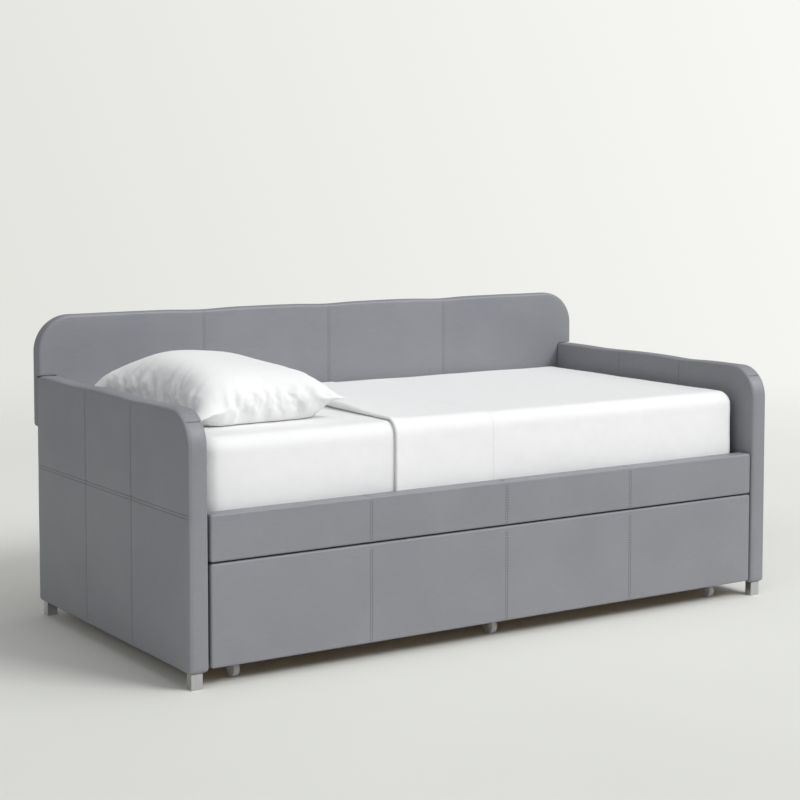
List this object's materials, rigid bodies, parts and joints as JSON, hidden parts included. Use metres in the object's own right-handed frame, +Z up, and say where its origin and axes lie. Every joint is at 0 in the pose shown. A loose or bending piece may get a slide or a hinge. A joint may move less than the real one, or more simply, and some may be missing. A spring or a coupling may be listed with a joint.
{
  "type": "trundle bed",
  "caption": "Upholstered daybed with padded arms and backrest, a made-up mattress with pillow and coverlet, and a second bed on casters that rolls out from under it.",
  "frame": {"origin": "on the floor under the middle of the bed", "axes": "+X along the bed, to the right of someone facing its front; -Y out of the front, the way the trundle rolls; +Z up"},
  "size_m": [2.12, 1.09, 0.951],
  "materials": {
    "upholstery": "satin",
    "particle_board": "matte",
    "pine": "matte",
    "birch": "matte",
    "plywood": "matte",
    "satin_steel": "satin",
    "zinc_steel": "satin",
    "caster_plastic": "matte",
    "sheet_cotton": "matte",
    "coverlet_cotton": "matte",
    "pillow_cotton": "matte",
    "ticking": "matte"
  },
  "bodies": {
    "bed_frame": {"left_arm_cover": "upholstery", "left_arm_core": "particle_board", "right_arm_cover": "upholstery", "right_arm_core": "particle_board", "backrest_cover": "upholstery", "backrest_core": "particle_board", "front_rail_cover": "upholstery", "front_rail_core": "particle_board", "back_rail": "particle_board", "front_ledger": "pine", "back_ledger": "pine", "bracket_front_left": "zinc_steel", "bracket_front_right": "zinc_steel", "bracket_rear_left": "zinc_steel", "bracket_rear_right": "zinc_steel", "foot_front_left": "satin_steel", "foot_front_right": "satin_steel", "foot_rear_left": "satin_steel", "foot_rear_right": "satin_steel", "slat_1": "birch", "slat_2": "birch", "slat_3": "birch", "slat_4": "birch", "slat_5": "birch", "slat_6": "birch", "slat_7": "birch", "slat_8": "birch", "slat_9": "birch", "mattress": "sheet_cotton", "coverlet": "coverlet_cotton", "pillow": "pillow_cotton"},
    "trundle": {"trundle_front_cover": "upholstery", "trundle_front_core": "particle_board", "trundle_left_side": "plywood", "trundle_right_side": "plywood", "trundle_back": "plywood", "trundle_deck_left": "plywood", "trundle_deck_right": "plywood", "trundle_bearer_left": "pine", "trundle_bearer_middle": "pine", "trundle_bearer_right": "pine", "trundle_mattress": "ticking", "caster_front_left_housing": "zinc_steel", "caster_front_left_axle": "zinc_steel", "caster_front_middle_housing": "zinc_steel", "caster_front_middle_axle": "zinc_steel", "caster_front_right_housing": "zinc_steel", "caster_front_right_axle": "zinc_steel", "caster_rear_left_housing": "zinc_steel", "caster_rear_left_axle": "zinc_steel", "caster_rear_middle_housing": "zinc_steel", "caster_rear_middle_axle": "zinc_steel", "caster_rear_right_housing": "zinc_steel", "caster_rear_right_axle": "zinc_steel"},
    "wheel_front_left": {"caster_front_left_wheel": "caster_plastic"},
    "wheel_front_middle": {"caster_front_middle_wheel": "caster_plastic"},
    "wheel_front_right": {"caster_front_right_wheel": "caster_plastic"},
    "wheel_rear_left": {"caster_rear_left_wheel": "caster_plastic"},
    "wheel_rear_middle": {"caster_rear_middle_wheel": "caster_plastic"},
    "wheel_rear_right": {"caster_rear_right_wheel": "caster_plastic"}
  },
  "joints": [
    {"name": "trundle_slide", "type": "slide", "parent": "bed_frame", "child": "trundle", "axis": [0, -1, 0], "range_m": [0, 1]},
    {"name": "front_left_roll", "type": "hinge", "parent": "trundle", "child": "wheel_front_left", "pos_m": [-0.885, -0.462, 0.0243], "axis": [1, 0, 0], "continuous": true},
    {"name": "front_middle_roll", "type": "hinge", "parent": "trundle", "child": "wheel_front_middle", "pos_m": [0, -0.462, 0.0243], "axis": [1, 0, 0], "continuous": true},
    {"name": "front_right_roll", "type": "hinge", "parent": "trundle", "child": "wheel_front_right", "pos_m": [0.885, -0.462, 0.0243], "axis": [1, 0, 0], "continuous": true},
    {"name": "rear_left_roll", "type": "hinge", "parent": "trundle", "child": "wheel_rear_left", "pos_m": [-0.885, 0.415, 0.0243], "axis": [1, 0, 0], "continuous": true},
    {"name": "rear_middle_roll", "type": "hinge", "parent": "trundle", "child": "wheel_rear_middle", "pos_m": [0, 0.415, 0.0243], "axis": [1, 0, 0], "continuous": true},
    {"name": "rear_right_roll", "type": "hinge", "parent": "trundle", "child": "wheel_rear_right", "pos_m": [0.885, 0.415, 0.0243], "axis": [1, 0, 0], "continuous": true}
  ],
  "couplings": [
    {"joint": "front_left_roll", "follows": "trundle_slide", "rad_per_m": 41.667},
    {"joint": "front_middle_roll", "follows": "trundle_slide", "rad_per_m": 41.667},
    {"joint": "front_right_roll", "follows": "trundle_slide", "rad_per_m": 41.667},
    {"joint": "rear_left_roll", "follows": "trundle_slide", "rad_per_m": 41.667},
    {"joint": "rear_middle_roll", "follows": "trundle_slide", "rad_per_m": 41.667},
    {"joint": "rear_right_roll", "follows": "trundle_slide", "rad_per_m": 41.667}
  ]
}
